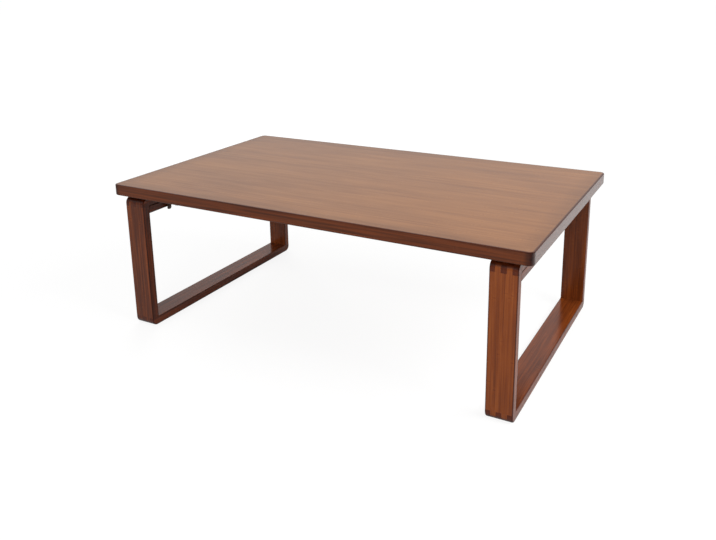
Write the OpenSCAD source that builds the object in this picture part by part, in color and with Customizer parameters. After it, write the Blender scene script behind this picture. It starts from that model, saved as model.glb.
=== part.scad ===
// Low folding table: a laminated bamboo top on two closed loops of finger-jointed
// boards. Each loop turns on a pair of spring-catch brackets and folds inwards
// beneath the top.
// Millimetres. X runs along the top's length, Y along its depth and Z up from the
// floor. The origin is the centre of the footprint on the floor.

/* [Overall size] */
// Length of the top along X
top_length = 1000; // [840:10:1400]
// Depth of the top along Y
top_depth = 600; // [420:10:900]
// Height of the top's surface above the floor
table_height = 350; // [300:5:430]

/* [Tabletop] */
// Thickness of the laminated panel
top_thickness = 26; // [20:1:32]
// Radius of the panel's upright corners in plan
top_corner_radius = 12; // [6:1:30]
// Rounding of the panel's upper and lower edges
top_edge_radius = 2.5; // [1:0.5:5]

/* [Leg loops] */
// Width of the loop boards along X
board_width = 55; // [40:1:75]
// Thickness of the loop boards
board_thickness = 20; // [17:1:24]
// Distance of each loop from the end of the top
end_inset = 27; // [10:1:60]
// Distance of each loop from the front and back edges of the top
side_inset = 7.5; // [3:0.5:30]
// Open gap between the top and each loop
top_gap = 4; // [3:0.5:5]
// Rounding of a loop's four outer corners, seen from the end of the table
loop_corner_radius = 15; // [8:1:18]
// Rounding of the boards' outer long edges
outer_edge_radius = 3; // [1:0.5:5]
// Rounding of the boards' inner long edges
inner_edge_radius = 2; // [1:0.5:3]
// Thickness of the stiffening board glued below each top rail
stiffener_thickness = 18; // [14:1:24]
// Number of fingers across each corner joint, an odd number
finger_count = 5; // [3:2:9]

/* [Folding brackets] */
// Distance of each bracket's middle from the front or back edge of the top
bracket_from_edge = 100; // [85:5:180]
// Thickness of the pressed sheet
sheet = 2; // [1.5:0.1:2.2]
// Depth of the pivot below the underside of the top
pivot_drop = 10; // [9.8:0.2:12]
// Distance of the pivot in from a loop's inner face
pivot_reach = 9; // [8.6:0.2:11]
// Radius of the pivot pin
pin_radius = 2.5; // [2:0.1:2.8]
// Distance from the pivot to the two flats that the catch spring rests on
catch_flat = 4.5; // [4.3:0.1:4.8]
// Inside width between the leaf bracket's ears
ear_spacing = 28; // [24:1:34]
// Length of the base bracket's cheeks beyond the pivot
cheek_length = 30; // [26:1:36]
// Length of the mounting tabs beyond the cheeks
tab_length = 24; // [20:1:32]
// Width of the base bracket over its mounting tabs
tab_width = 60; // [54:1:76]
// Distance that the ears reach below the stiffening board
ear_overhang = 5; // [3:1:8]

/* [Catch spring] */
// Thickness of the spring strip
spring_thickness = 1; // [0.8:0.1:1]
// Width of the strip's fixed tail
spring_tail_width = 16; // [14:1:20]

/* [Screws and pads] */
// Shank radius of the wood screws
screw_radius = 1.9; // [1.6:0.1:2.1]
// Radius of the screw heads
screw_head_radius = 3.3; // [3:0.1:3.5]
// Height of the screw heads
screw_head_height = 2.2; // [1.8:0.1:2.4]
// Length of the shank below the head
screw_length = 17; // [14:1:17]
// Radius of the rubber stop pads
pad_radius = 8; // [6:0.5:10]

/* [Hidden] */
$fn = 64;

// Colours as the table shows them
BAMBOO_TOP = "#a58470";
BAMBOO_BOARD = "#784126";
DARK_STEEL = "#2e2623";
SPRING_STEEL = "#6f6a66";
RUBBER = "#1c1a19";

LEFT = -1;
RIGHT = 1;
FRONT = -1;
BACK = 1;

// Levels above the floor
underside_z = table_height - top_thickness;
loop_height = underside_z - top_gap;
pivot_z = underside_z - pivot_drop;

// Distances from the table's middle
loop_outer_x = top_length / 2 - end_inset;
loop_inner_x = loop_outer_x - board_width;
loop_middle_x = (loop_outer_x + loop_inner_x) / 2;
pivot_x = loop_inner_x - pivot_reach;
bracket_y = top_depth / 2 - bracket_from_edge;

// Loop size in its own plane
loop_depth = top_depth - 2 * side_inset;
window_depth = loop_depth - 2 * board_thickness;
window_height = loop_height - 2 * board_thickness;
finger_width = board_width / finger_count;

// Bracket levels, measured up from the pivot
web_z = pivot_drop - sheet;
wood_top_z = pivot_drop - top_gap;
seam_z = wood_top_z - board_thickness;
wood_bottom_z = seam_z - stiffener_thickness;
leaf_bottom_z = wood_bottom_z + 2;
ear_bottom_z = wood_bottom_z - ear_overhang;
boss_radius = pivot_reach - 0.5;
bore_radius = pin_radius + 0.05;
bend_radius = 1.5 * sheet;

// Bracket widths, measured either way from the bracket's middle
ear_out_y = ear_spacing / 2 + sheet;
cheek_in_y = ear_out_y + 0.4;
cheek_out_y = cheek_in_y + sheet;

// Screw places: [distance in from the pivot, distance along the pin]
tab_in_x = cheek_length - 1;
tab_out_x = cheek_length + tab_length - 1;
tab_screw_y = (tab_width / 2 + cheek_out_y) / 2;
base_screw_places = [
    for (x = [tab_in_x + 6, tab_out_x - 6], y = [-tab_screw_y, tab_screw_y]) [x, y],
    [(tab_in_x + tab_out_x) / 2 + 3, 0]
];
// Leaf screws: [distance along the pin, height from the pivot]
leaf_screw_places = [
    for (y = [-7, 7], z = [-pin_radius - screw_head_radius - 1.7, (seam_z + wood_bottom_z) / 2])
        [y, z]
];
rivet_places = [for (y = [-4.5, 4.5]) [cheek_length - 4, y]];
pad_inset = pad_radius + 6;

// Small fits and rounds of the metal parts
shank_slack = 0.05;
plate_slack = 0.3;
tab_corner = 4;
rivet_radius = 1.5;
rivet_head_radius = 2.6;
rivet_head_height = 1.2;
flat_corner = 1.5;
ear_corner = catch_flat + 3.5;

// Placing

module at_loop(side) {
    translate([side * loop_middle_x, 0, loop_height / 2]) rotate([90, 0, 90]) children();
}

// Bracket frame: X inwards from the pivot, Y along the pin, Z up
module at_bracket(side, end) {
    translate([side * pivot_x, end * bracket_y, pivot_z])
        rotate([0, 0, side == LEFT ? 0 : 180]) children();
}

// Shared forms

module rounded_rect(w, h, r) {
    square([w - 2 * r, h], center = true);
    square([w, h - 2 * r], center = true);
    for (x = [-1, 1], y = [-1, 1])
        translate([x * (w / 2 - r), y * (h / 2 - r)]) circle(r = r);
}

// What a rounding cutter takes off an edge at the origin, with material at -X and -Y
module edge_profile(r) {
    difference() {
        translate([-r, -r]) square(r + 1);
        translate([-r, -r]) circle(r = r);
    }
}

// Rounds the whole outline edge of a plate whose face is at z = 0
module outline_rounding(w, h, corner, r) {
    for (k = [0:3]) {
        reach = k % 2 == 0 ? w / 2 : h / 2;
        run = (k % 2 == 0 ? h : w) - 2 * corner;
        rotate([0, 0, 90 * k]) translate([reach, 0, 0]) rotate([90, 0, 0])
            linear_extrude(height = run, center = true) edge_profile(r);
    }
    for (c = [[1, 1, 0], [-1, 1, 90], [-1, -1, 180], [1, -1, 270]])
        translate([c[0] * (w / 2 - corner), c[1] * (h / 2 - corner), 0])
            rotate([0, 0, c[2]]) rotate_extrude(angle = 90)
                translate([corner, 0]) edge_profile(r);
}

module rounded_plate(w, h, t, corner, r) {
    difference() {
        linear_extrude(height = t, center = true) rounded_rect(w, h, corner);
        for (m = [0, 1]) mirror([0, 0, m])
            translate([0, 0, t / 2]) outline_rounding(w, h, corner, r);
    }
}

// Tabletop

module screw_hole(depth) {
    translate([0, 0, -0.01]) cylinder(r = screw_radius + shank_slack, h = depth + 0.01);
}

module tabletop() {
    color(BAMBOO_TOP) difference() {
        translate([0, 0, underside_z + top_thickness / 2])
            rounded_plate(top_length, top_depth, top_thickness,
                          top_corner_radius, top_edge_radius);
        for (side = [LEFT, RIGHT], end = [FRONT, BACK])
            at_bracket(side, end) for (p = base_screw_places)
                translate([p[0], p[1], pivot_drop]) screw_hole(screw_length - sheet + 1);
    }
}

// Leg loops, drawn flat: X along the depth, Y up, Z across the boards' width

module loop_blank() {
    difference() {
        rounded_plate(loop_depth, loop_height, board_width,
                      loop_corner_radius, outer_edge_radius);
        cube([window_depth, window_height, board_width + 2], center = true);
        for (m = [0, 1]) mirror([0, 0, m]) translate([0, 0, board_width / 2])
            window_rounding();
    }
}

// Rounds the window's four edges, each from board to board
module window_rounding() {
    for (k = [0:3]) {
        reach = (k % 2 == 0 ? window_depth : window_height) / 2;
        run = k % 2 == 0 ? window_height : window_depth;
        rotate([0, 0, 90 * k]) translate([reach, 0, 0]) rotate([90, 0, 0])
            linear_extrude(height = run, center = true)
                mirror([1, 0]) edge_profile(inner_edge_radius);
    }
}

// The fingers of one corner block, taking every second place from the given one
module fingers(first) {
    for (i = [first:2:finger_count - 1])
        translate([0, 0, -board_width / 2 + (i + 0.5) * finger_width])
            cube([board_thickness + 1, board_thickness + 1, finger_width], center = true);
}

module corner_places(ends, levels) {
    for (x = ends, y = levels)
        translate([x * (window_depth + board_thickness + 1) / 2,
                   y * (window_height + board_thickness + 1) / 2, 0]) children();
}

module leg(side, end) {
    color(BAMBOO_BOARD) at_loop(side) intersection() {
        loop_blank();
        union() {
            translate([end * (window_depth + board_thickness + 1) / 2, 0, 0])
                cube([board_thickness + 1, window_height, board_width + 2], center = true);
            corner_places([end], [-1, 1]) fingers(1);
        }
    }
}

module rail(side, level) {
    intersection() {
        at_loop(side) loop_blank();
        at_loop(side) union() {
            translate([0, level * (window_height + board_thickness + 1) / 2, 0])
                cube([window_depth, board_thickness + 1, board_width + 2], center = true);
            corner_places([-1, 1], [level]) fingers(0);
        }
    }
}

module leaf_screw_holes(side) {
    for (end = [FRONT, BACK]) at_bracket(side, end) for (p = leaf_screw_places)
        translate([-pivot_reach, p[0], p[1]]) rotate([0, -90, 0])
            screw_hole(screw_length - sheet + 1);
}

module top_rail(side) {
    color(BAMBOO_BOARD) difference() {
        rail(side, 1);
        leaf_screw_holes(side);
    }
}

module bottom_rail(side) {
    color(BAMBOO_BOARD) rail(side, -1);
}

module stiffener(side) {
    color(BAMBOO_BOARD) difference() {
        translate([side * loop_middle_x, 0,
                   loop_height - board_thickness - stiffener_thickness / 2])
            rotate([90, 0, 0]) linear_extrude(height = window_depth, center = true)
                rounded_rect(board_width, stiffener_thickness, inner_edge_radius);
        leaf_screw_holes(side);
    }
}

// Folding brackets

// A sheet bent down along both sides, seen along the bend, with its back at y = 0
module bent_section(half_width, legs) {
    difference() {
        bent_outline(half_width, legs, bend_radius);
        translate([0, -sheet]) bent_outline(half_width - sheet, legs, bend_radius - sheet);
    }
}

module bent_outline(half_width, legs, r) {
    translate([-half_width, -legs]) square([2 * half_width, legs - r]);
    translate([-half_width + r, -legs]) square([2 * (half_width - r), legs]);
    for (x = [-1, 1]) translate([x * (half_width - r), -r]) circle(r = r);
}

// Point where the line from p touches the boss's lower side
function tangent_point(p, r) =
    let (d = norm(p), a = atan2(p[1], p[0]) - acos(r / d)) [r * cos(a), r * sin(a)];

module cheek_outline() {
    inside = boss_radius - 0.2;
    tip = [cheek_length, web_z - 2];
    circle(r = boss_radius);
    polygon([[0, 0], tangent_point(tip, inside), tip, [cheek_length, pivot_drop + 1],
             [-inside, pivot_drop + 1], [-inside, 0]]);
}

module base_bracket(side, end) {
    color(DARK_STEEL) at_bracket(side, end) difference() {
        union() {
            intersection() {
                translate([-pivot_reach, 0, pivot_drop]) rotate([90, 0, 90])
                    linear_extrude(height = pivot_reach + tab_out_x)
                        bent_section(cheek_out_y, pivot_drop + boss_radius + 1);
                rotate([90, 0, 0])
                    linear_extrude(height = tab_width, center = true) cheek_outline();
            }
            translate([(tab_in_x + tab_out_x) / 2, 0, web_z]) linear_extrude(height = sheet)
                rounded_rect(tab_out_x - tab_in_x, tab_width, tab_corner);
        }
        rotate([90, 0, 0]) cylinder(r = bore_radius, h = tab_width, center = true);
        for (p = base_screw_places) translate([p[0], p[1], web_z - 1])
            cylinder(r = screw_radius + plate_slack, h = sheet + 2);
        for (p = rivet_places) translate([p[0], p[1], web_z - 1])
            cylinder(r = rivet_radius + shank_slack, h = sheet + 2);
    }
}

// Ears with two flats at right angles, so that the catch spring holds both positions
module ear_outline() {
    back = -pivot_reach;
    low_x = catch_flat - ear_corner;
    low_z = ear_bottom_z + ear_corner;
    top = catch_flat - flat_corner;
    translate([back, low_z]) square([catch_flat - back, top - low_z]);
    translate([back, ear_bottom_z]) square([low_x - back, ear_corner + 1]);
    translate([low_x, low_z]) circle(r = ear_corner);
    translate([back, 0]) square([top - back, catch_flat]);
    translate([top, top]) circle(r = flat_corner);
}

module leaf_bracket(side, end) {
    color(DARK_STEEL) at_bracket(side, end) difference() {
        intersection() {
            translate([-pivot_reach, 0, ear_bottom_z - 1]) rotate([0, 0, 90])
                linear_extrude(height = catch_flat - ear_bottom_z + 2)
                    bent_section(ear_out_y, pivot_reach + catch_flat + 1);
            rotate([90, 0, 0])
                linear_extrude(height = 2 * ear_out_y + 2, center = true) ear_outline();
        }
        translate([-pivot_reach - 1, -ear_spacing / 2, ear_bottom_z - 2])
            cube([pivot_reach + catch_flat + 2, ear_spacing,
                  leaf_bottom_z - ear_bottom_z + 2]);
        rotate([90, 0, 0]) cylinder(r = bore_radius, h = tab_width, center = true);
        for (p = leaf_screw_places) translate([-pivot_reach - 1, p[0], p[1]])
            rotate([0, 90, 0]) cylinder(r = screw_radius + plate_slack, h = sheet + 2);
    }
}

module pivot_pin(side, end) {
    head_y = cheek_out_y + shank_slack;
    head_radius = pin_radius + 2;
    rim = 0.9;
    crown = 0.8;
    color(DARK_STEEL) at_bracket(side, end) rotate([90, 0, 0]) {
        cylinder(r = pin_radius, h = 2 * (head_y + rim), center = true);
        for (m = [0, 1]) mirror([0, 0, m]) translate([0, 0, head_y]) {
            cylinder(r = head_radius, h = rim);
            translate([0, 0, rim])
                cylinder(r1 = head_radius, r2 = pin_radius + 0.6, h = crown);
        }
    }
}

// Side view of the strip: a turned-up tip, a flat nose on the ears, a smooth rise to a
// flat tail under the web
nose_z = catch_flat + shank_slack;
tail_z = web_z - spring_thickness;
tip_x = -6.5;
tip_lift = 1.2;
nose_x = -3.5;
rise_x = [9, 20];
rise_steps = 10;
spring_end = cheek_length + 1;

function rise(u) = u * u * (3 - 2 * u);

spring_line = concat(
    [[tip_x, nose_z + tip_lift], [(tip_x + 2 * nose_x) / 3, nose_z + tip_lift / 5],
     [nose_x, nose_z]],
    [for (i = [0:rise_steps]) let (u = i / rise_steps)
        [rise_x[0] + (rise_x[1] - rise_x[0]) * u, nose_z + (tail_z - nose_z) * rise(u)]],
    [[spring_end, tail_z]]
);

module catch_spring(side, end) {
    lower = spring_line;
    upper = [for (i = [len(lower) - 1:-1:0]) lower[i] + [0, spring_thickness]];
    color(SPRING_STEEL) at_bracket(side, end) difference() {
        intersection() {
            rotate([90, 0, 0]) linear_extrude(height = 2 * ear_out_y, center = true)
                polygon(concat(lower, upper));
            translate([0, 0, web_z / 2]) linear_extrude(height = web_z + 10, center = true)
                spring_plan();
        }
        for (p = rivet_places) translate([p[0], p[1], tail_z - 1])
            cylinder(r = rivet_radius + shank_slack, h = spring_thickness + 2);
    }
}

module spring_plan() {
    nose_half = ear_out_y - 0.5;
    tail_half = spring_tail_width / 2;
    wide_x = rise_x[0] - 3;
    narrow_x = rise_x[0] + 5;
    polygon([[tip_x - 1, -nose_half], [wide_x, -nose_half], [narrow_x, -tail_half],
             [spring_end, -tail_half], [spring_end, tail_half], [narrow_x, tail_half],
             [wide_x, nose_half], [tip_x - 1, nose_half]]);
}

module spring_rivets(side) {
    color(DARK_STEEL) for (end = [FRONT, BACK]) at_bracket(side, end)
        for (p = rivet_places) translate([p[0], p[1], 0]) {
            half = rivet_head_height / 2;
            translate([0, 0, tail_z - half])
                cylinder(r = rivet_radius, h = pivot_drop - tail_z + half);
            translate([0, 0, tail_z - half]) cylinder(r = rivet_head_radius, h = half);
            translate([0, 0, tail_z - rivet_head_height])
                cylinder(r1 = rivet_radius + 0.1, r2 = rivet_head_radius, h = half);
        }
}

// Screws and pads

// A pan-head wood screw with a cross recess; the head seats at z = 0, the tip is up
module wood_screw() {
    tip = 4;
    difference() {
        union() {
            rotate_extrude() polygon([
                [0, -screw_head_height], [screw_head_radius * 0.55, -screw_head_height],
                [screw_head_radius * 0.88, -screw_head_height * 0.72],
                [screw_head_radius, -screw_head_height * 0.3],
                [screw_head_radius, 0], [0, 0]
            ]);
            rotate_extrude() polygon([
                [0, -0.5], [screw_radius, -0.5], [screw_radius, screw_length - tip],
                [0.2, screw_length], [0, screw_length]
            ]);
        }
        for (a = [0, 90]) rotate([0, 0, a]) translate([0, 0, -screw_head_height])
            cube([screw_head_radius * 1.15, 0.9, 2.4], center = true);
    }
}

module base_screws(side) {
    color(DARK_STEEL) for (end = [FRONT, BACK]) at_bracket(side, end)
        for (p = base_screw_places) translate([p[0], p[1], web_z]) wood_screw();
}

module leaf_screws(side) {
    color(DARK_STEEL) for (end = [FRONT, BACK]) at_bracket(side, end)
        for (p = leaf_screw_places) translate([-pivot_reach + sheet, p[0], p[1]])
            rotate([0, -90, 0]) wood_screw();
}

module stop_pads(side) {
    height = top_gap - 0.1;
    bevel = 0.8;
    color(RUBBER) for (y = [-bracket_y, 0, bracket_y])
        translate([side * (loop_outer_x - pad_inset), y, underside_z - height]) {
            translate([0, 0, bevel]) cylinder(r = pad_radius, h = height - bevel);
            cylinder(r1 = pad_radius - bevel, r2 = pad_radius, h = bevel);
        }
}

// Parts

tabletop();

leg(LEFT, FRONT);  // left_front_leg
leg(LEFT, BACK);  // left_back_leg
top_rail(LEFT);  // left_top_rail
bottom_rail(LEFT);  // left_bottom_rail
stiffener(LEFT);  // left_stiffener
leg(RIGHT, FRONT);  // right_front_leg
leg(RIGHT, BACK);  // right_back_leg
top_rail(RIGHT);  // right_top_rail
bottom_rail(RIGHT);  // right_bottom_rail
stiffener(RIGHT);  // right_stiffener

base_bracket(LEFT, FRONT);  // left_front_base_bracket
base_bracket(LEFT, BACK);  // left_back_base_bracket
base_bracket(RIGHT, FRONT);  // right_front_base_bracket
base_bracket(RIGHT, BACK);  // right_back_base_bracket
leaf_bracket(LEFT, FRONT);  // left_front_leaf_bracket
leaf_bracket(LEFT, BACK);  // left_back_leaf_bracket
leaf_bracket(RIGHT, FRONT);  // right_front_leaf_bracket
leaf_bracket(RIGHT, BACK);  // right_back_leaf_bracket
pivot_pin(LEFT, FRONT);  // left_front_pivot_pin
pivot_pin(LEFT, BACK);  // left_back_pivot_pin
pivot_pin(RIGHT, FRONT);  // right_front_pivot_pin
pivot_pin(RIGHT, BACK);  // right_back_pivot_pin
catch_spring(LEFT, FRONT);  // left_front_catch_spring
catch_spring(LEFT, BACK);  // left_back_catch_spring
catch_spring(RIGHT, FRONT);  // right_front_catch_spring
catch_spring(RIGHT, BACK);  // right_back_catch_spring

spring_rivets(LEFT);  // left_spring_rivets
spring_rivets(RIGHT);  // right_spring_rivets
base_screws(LEFT);  // left_base_screws
base_screws(RIGHT);  // right_base_screws
leaf_screws(LEFT);  // left_leaf_screws
leaf_screws(RIGHT);  // right_leaf_screws
stop_pads(LEFT);  // left_stop_pads
stop_pads(RIGHT);  // right_stop_pads
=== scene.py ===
"""Dresses the folding low table: carbonised bamboo boards, pressed steel folding
brackets and rubber stop pads, on the plain pale floor of the photograph.

The CAD frame is in metres. Shapes are made in millimetres, from the same named sizes as
the CAD source, and are scaled once, when a shape becomes a piece.
"""

import logging
import math
from dataclasses import dataclass
from enum import Enum
from typing import Any, Callable, Iterable, NamedTuple, Sequence

import bmesh
import bpy
from bmesh.types import BMEdge, BMFace, BMVert
from mathutils import Matrix, Vector


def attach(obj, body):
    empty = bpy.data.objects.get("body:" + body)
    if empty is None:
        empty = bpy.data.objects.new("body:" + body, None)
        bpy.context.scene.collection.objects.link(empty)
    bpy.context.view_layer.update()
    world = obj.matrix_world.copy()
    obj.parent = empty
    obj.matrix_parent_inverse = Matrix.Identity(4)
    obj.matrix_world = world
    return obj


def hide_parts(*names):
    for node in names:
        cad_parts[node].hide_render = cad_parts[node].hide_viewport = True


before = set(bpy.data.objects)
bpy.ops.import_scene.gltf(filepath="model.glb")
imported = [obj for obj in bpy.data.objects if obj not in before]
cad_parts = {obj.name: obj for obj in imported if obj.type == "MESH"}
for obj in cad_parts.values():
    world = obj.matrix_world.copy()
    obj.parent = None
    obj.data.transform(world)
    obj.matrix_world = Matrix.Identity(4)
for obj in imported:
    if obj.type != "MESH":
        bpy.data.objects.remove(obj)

LOG = logging.getLogger("low_table")
Pair = tuple[float, float]
Triple = tuple[float, float, float]
Colour = Triple
PointTest = Callable[[Vector], bool]
PairTest = Callable[[Vector, Vector], bool]

MM = 0.001
SHARP = math.radians(32)
LONG_EDGE = 200.0
WHITE = (1.0, 1.0, 1.0, 1.0)
TOP_BODY = "table_top"

# Where a surface's normal begins to count and where it counts in full: as end grain, as
# a narrow face, and as turning round an edge
ENDWISE = (0.62, 0.88)
SIDEWISE = (0.45, 0.85)
TURNING = (0.02, 0.16)


class Labelled(Enum):
    """A choice whose name stands in the names of pieces."""

    @property
    def label(self) -> str:
        """The name as it stands there."""
        return self.name.lower()


class Side(Labelled):
    """The two ends of the table's length, each with the sign of its X."""

    LEFT = -1
    RIGHT = 1

    @property
    def loop(self) -> str:
        """The body that the side's leg loop belongs to."""
        return f"{self.label}_loop"


class End(Labelled):
    """The front and the back of the table's depth, each with the sign of its Y."""

    FRONT = -1
    BACK = 1


class Level(Labelled):
    """The lower and the upper rail of a loop."""

    BOTTOM = -1
    TOP = 1


class Grain(Enum):
    """Which object axis runs along the fibres, across the strips and through the plies."""

    LENGTH = (0, 1, 2)
    DEPTH = (1, 0, 2)
    HEIGHT = (2, 0, 1)


class Dress(NamedTuple):
    """A finish and the name of the material slot that it stands for."""

    material: bpy.types.Material
    slot: str


class LoopTones(NamedTuple):
    """How light a loop's boards are, from 0 to 1: partly a random difference between boards, partly
    painted shade on boards that stand in less light.
    """

    front_leg: float
    back_leg: float
    rails: float


@dataclass(frozen=True)
class Board:
    """How a board was cut: its grain, the axes that its narrow faces look along, and how
    light it is among its like, from 0 to 1."""

    grain: Grain
    narrow: tuple[int, ...] = (0,)
    tone: float = 0.5


@dataclass(frozen=True)
class TableSizes:
    """The table's named sizes in millimetres."""

    length: float = 1000.0
    depth: float = 600.0
    height: float = 350.0
    top: float = 26.0
    top_corner: float = 12.0
    top_edge: float = 2.5
    board_width: float = 55.0
    board: float = 20.0
    end_inset: float = 27.0
    side_inset: float = 7.5
    gap: float = 4.0
    loop_corner: float = 15.0
    outer_edge: float = 3.0
    inner_edge: float = 2.0
    stiffener: float = 18.0
    fingers: int = 5
    bracket_inset: float = 100.0
    pivot_drop: float = 10.0
    pivot_reach: float = 9.0
    pad_radius: float = 8.0
    pad_inset: float = 6.0
    pad_clearance: float = 0.1

    @property
    def underside(self) -> float:
        """Height of the top's underside."""
        return self.height - self.top

    @property
    def loop_height(self) -> float:
        """Height of the leg loops."""
        return self.underside - self.gap

    @property
    def loop_half(self) -> float:
        """Half the loops' depth."""
        return self.depth / 2 - self.side_inset

    @property
    def window_half(self) -> float:
        """Half the depth of the loops' open window."""
        return self.loop_half - self.board

    @property
    def loop_outer(self) -> float:
        """Distance of a loop's outer face from the table's middle."""
        return self.length / 2 - self.end_inset

    @property
    def loop_inner(self) -> float:
        """Distance of a loop's inner face from the table's middle."""
        return self.loop_outer - self.board_width

    @property
    def finger(self) -> float:
        """Width of one finger of the corner joints."""
        return self.board_width / self.fingers

    @property
    def bracket_reach(self) -> float:
        """Distance of the brackets from the middle of the table's depth."""
        return self.depth / 2 - self.bracket_inset

    def leg_faces(self, end: End) -> Pair:
        """The Y of a leg's outer face and of its face to the window."""
        return end.value * self.loop_half, end.value * self.window_half

    def rail_faces(self, level: Level) -> Pair:
        """The Z of a rail's outer face and of its face to the window."""
        top = self.loop_height
        return (0.0, self.board) if level is Level.BOTTOM else (top, top - self.board)

    def bracket_place(self, side: Side, end: End) -> Matrix:
        """Where a folding bracket is.

        Args:
            side: The bracket's side.
            end: The bracket's end.

        Returns:
            The matrix from the bracket's frame to the table's.
        """
        x = side.value * (self.loop_inner - self.pivot_reach)
        at = (x, end.value * self.bracket_reach, self.underside - self.pivot_drop)
        turn = Matrix.Rotation(math.pi if side is Side.RIGHT else 0.0, 4, "Z")
        return Matrix.Translation(at) @ turn


# Shader graphs


def math_method(operation: str, reflected: bool = False) -> Callable[["Signal", Any], "Signal"]:
    """Makes the method behind one of Python's operators.

    Args:
        operation: The Math node's operation.
        reflected: True where the other value stands first, as in 1 - signal.

    Returns:
        The method.
    """

    def method(signal: "Signal", other: Any) -> "Signal":
        """The operation on the signal and a number or another signal."""
        values = (other, signal) if reflected else (signal, other)
        return signal.graph.math(operation, *values)

    return method


class Signal:
    """A socket of a shader graph, on which Python arithmetic adds Math nodes."""

    def __init__(self, graph: "Graph", socket: bpy.types.NodeSocket) -> None:
        """Wraps one socket of a graph."""
        self.graph = graph
        self.socket = socket

    __add__ = math_method("ADD")
    __radd__ = math_method("ADD", reflected=True)
    __sub__ = math_method("SUBTRACT")
    __rsub__ = math_method("SUBTRACT", reflected=True)
    __mul__ = math_method("MULTIPLY")
    __rmul__ = math_method("MULTIPLY", reflected=True)
    __truediv__ = math_method("DIVIDE")
    __rtruediv__ = math_method("DIVIDE", reflected=True)
    larger = math_method("MAXIMUM")
    smaller = math_method("MINIMUM")

    def whole(self) -> "Signal":
        """The whole part, rounded down."""
        return self.graph.math("FLOOR", self)

    def part(self) -> "Signal":
        """The part after the point."""
        return self.graph.math("FRACT", self)

    def size(self) -> "Signal":
        """The value without its sign."""
        return self.graph.math("ABSOLUTE", self)

    def ramp(self, start: float, stop: float) -> "Signal":
        """A smooth step from 0 at the start to 1 at the stop."""
        values = {"Value": self, "From Min": start, "From Max": stop}
        return self.graph.node("ShaderNodeMapRange", {"interpolation_type": "SMOOTHSTEP"}, values)


class Pattern(NamedTuple):
    """Noise drawn out along the fibres: its frequencies along and across them, and how
    many finer octaves it has."""

    along: float
    across: float
    detail: float = 3.0


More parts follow.
